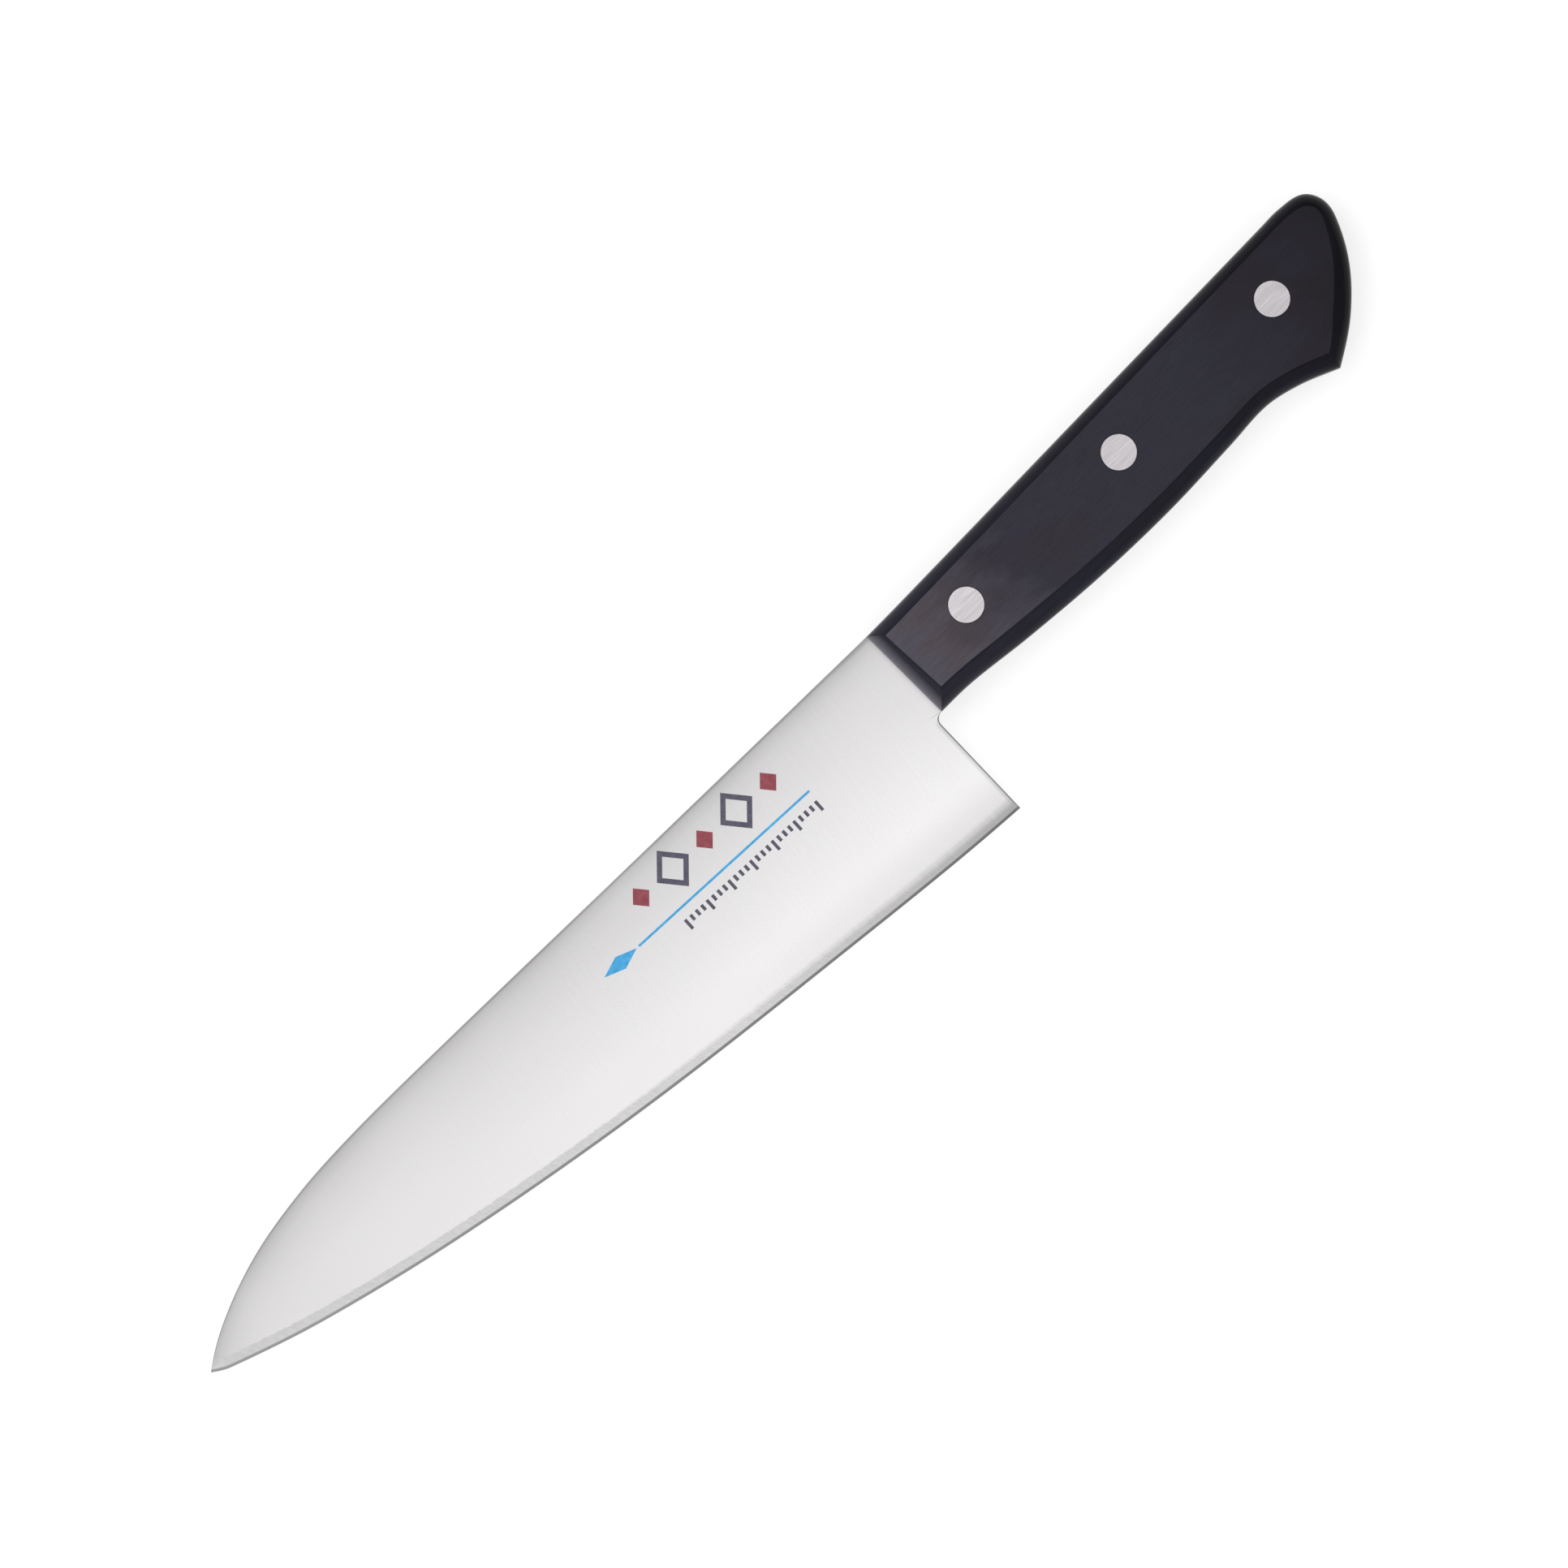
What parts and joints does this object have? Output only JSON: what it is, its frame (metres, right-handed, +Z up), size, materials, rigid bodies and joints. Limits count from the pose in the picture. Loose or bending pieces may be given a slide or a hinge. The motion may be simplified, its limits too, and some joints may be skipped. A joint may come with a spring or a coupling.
{
  "type": "chef knife",
  "caption": "Chef's knife with a curved edge and pointed tip, a flat full tang, two dark bevelled handle scales with a hooked butt, and flush round rivets.",
  "frame": {"origin": "under the middle of the knife's bounding box, on the plane of the right scale's flat face, which the knife rests on", "axes": "+X from the tip to the butt, +Y from the cutting edge to the spine, +Z up through the thickness, out of the left scale"},
  "size_m": [0.3086, 0.0462, 0.016],
  "materials": {
    "blade_steel": "satin",
    "scale_composite": "satin",
    "rivet_metal": "satin"
  },
  "bodies": {
    "root": {"blade": "blade_steel", "handle_scale_left": "scale_composite", "handle_scale_right": "scale_composite", "front_rivet_male": "rivet_metal", "front_rivet_female": "rivet_metal", "middle_rivet_male": "rivet_metal", "middle_rivet_female": "rivet_metal", "rear_rivet_male": "rivet_metal", "rear_rivet_female": "rivet_metal"}
  },
  "joints": []
}
